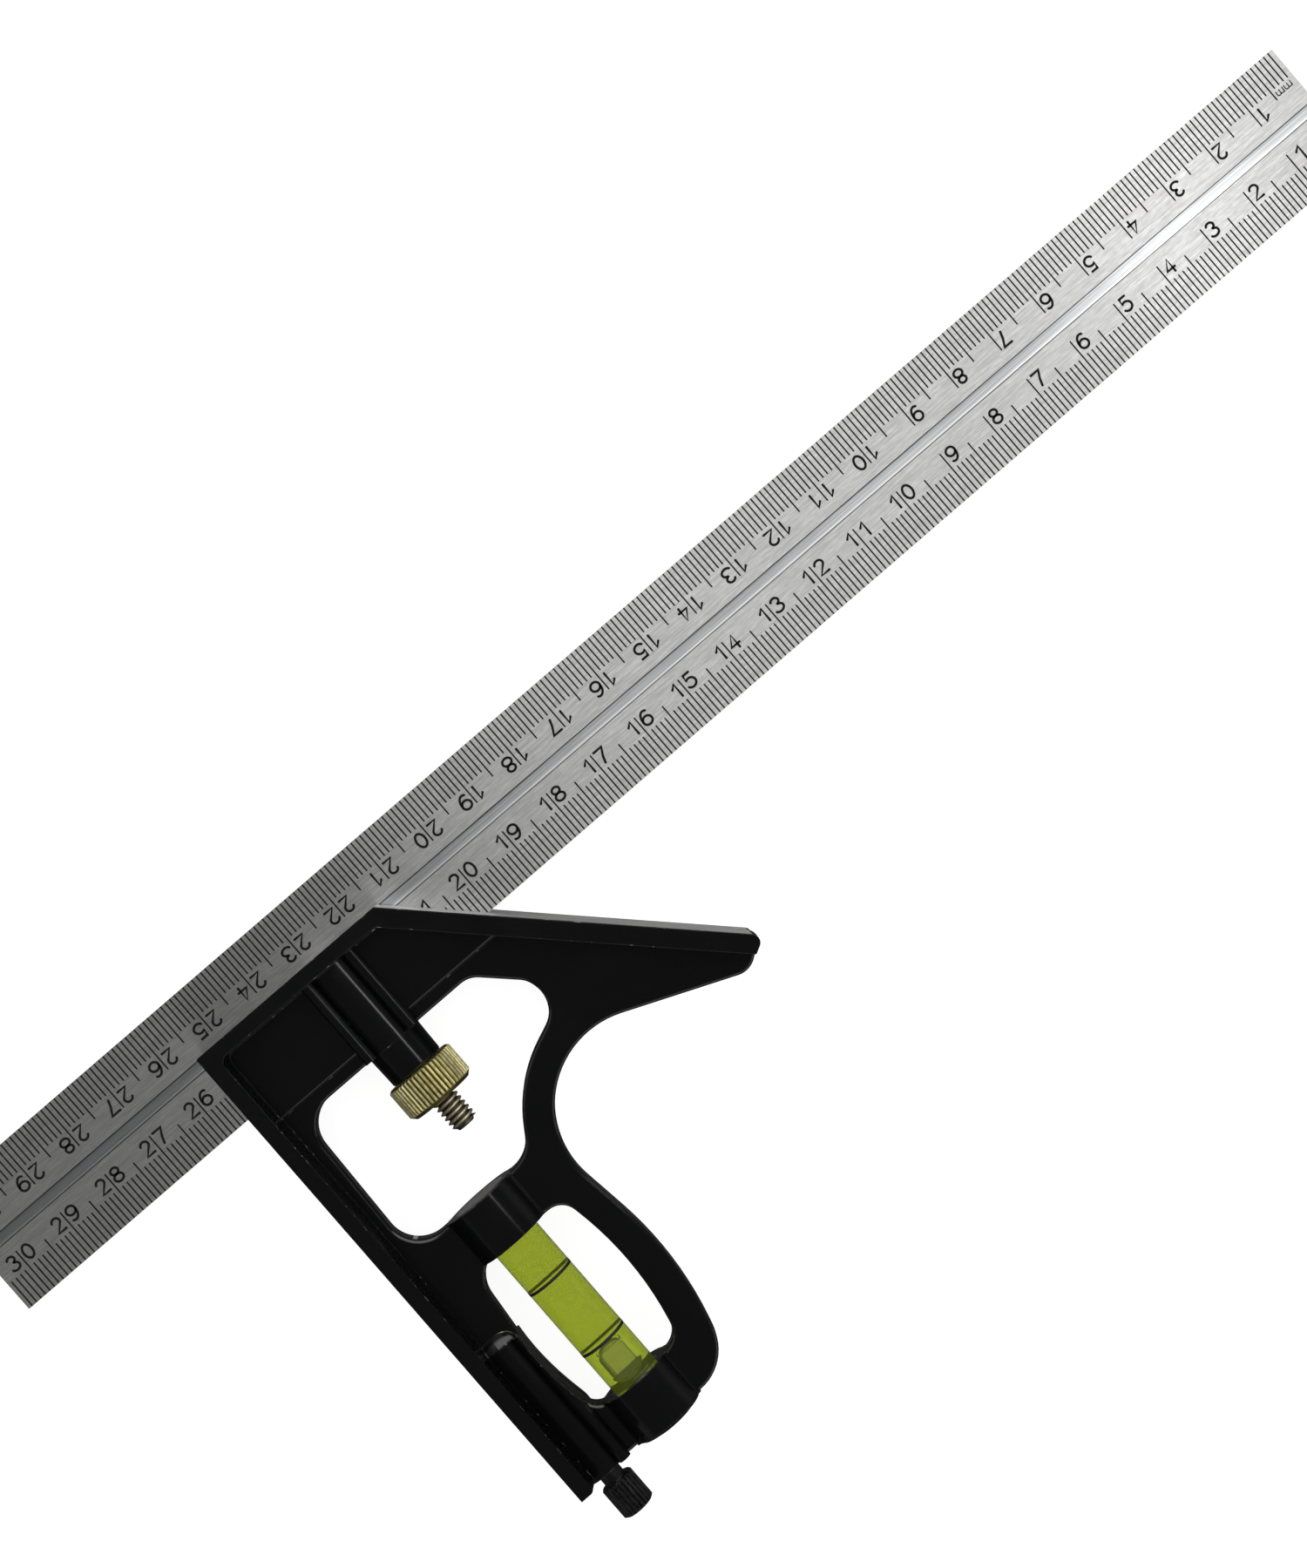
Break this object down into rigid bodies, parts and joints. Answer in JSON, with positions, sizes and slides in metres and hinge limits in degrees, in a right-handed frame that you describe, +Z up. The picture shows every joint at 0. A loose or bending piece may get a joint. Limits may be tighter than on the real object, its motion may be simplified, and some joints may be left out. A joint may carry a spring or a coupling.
{
  "type": "combination square",
  "caption": "Combination square: a steel rule sliding in a right-angle and mitre head that has a clamp nut, a level vial and a scriber.",
  "frame": {"origin": "middle of the whole outline, on the surface that the square lies on", "axes": "+X along the blade towards the zero end of its scale, +Y towards the blade's free edge, +Z up out of the side that the groove is on"},
  "size_m": [0.3048, 0.1198, 0.019],
  "materials": {
    "head_paint": "gloss",
    "blade_steel": "satin",
    "bolt_steel": "satin",
    "spring_steel": "satin",
    "nut_brass": "satin",
    "vial_clear": "gloss",
    "vial_spirit": "gloss",
    "vial_air": "gloss",
    "stopper_plastic": "matte",
    "collar_plaster": "matte",
    "plug_metal": "satin",
    "cap_plastic": "gloss",
    "needle_steel": "polished",
    "bush_brass": "satin",
    "knob_paint": "satin"
  },
  "bodies": {
    "head": {"head_casting": "head_paint", "clamp_spring": "spring_steel", "vial_tube": "vial_clear", "vial_spirit": "vial_spirit", "vial_stopper_inner": "stopper_plastic", "vial_stopper_outer": "stopper_plastic", "vial_collar_inner": "collar_plaster", "vial_collar_outer": "collar_plaster", "vial_bore_plug": "plug_metal", "vial_bore_cap": "cap_plastic", "scriber_bush": "bush_brass"},
    "blade": {"blade": "blade_steel"},
    "clamp_bolt": {"clamp_bolt": "bolt_steel"},
    "clamp_nut": {"clamp_nut": "nut_brass"},
    "scriber": {"scriber_needle": "needle_steel", "scriber_knob": "knob_paint"},
    "bubble": {"vial_bubble": "vial_air"}
  },
  "joints": [
    {"name": "blade_slide", "type": "slide", "parent": "head", "child": "blade", "axis": [1, 0, 0], "range_m": [-0.222, 0.072]},
    {"name": "nut_turn", "type": "hinge", "parent": "head", "child": "clamp_nut", "pos_m": [-0.0753, 0.0196, 0.0095], "axis": [0, 1, 0], "range_deg": [-200, 0]},
    {"name": "bolt_lift", "type": "slide", "parent": "head", "child": "clamp_bolt", "axis": [0, 1, 0], "range_m": [0, 0.00055], "deforming": ["clamp_spring"]},
    {"name": "scriber_slide", "type": "slide", "parent": "head", "child": "scriber", "axis": [0, -1, 0], "range_m": [0, 0.022]},
    {"name": "bubble_travel", "type": "slide", "parent": "head", "child": "bubble", "axis": [0, 1, 0], "range_m": [-0.005, 0.0286], "deforming": ["vial_spirit"]}
  ],
  "couplings": [
    {"joint": "nut_turn", "follows": "bolt_lift", "rad_per_m": -6283.2}
  ]
}
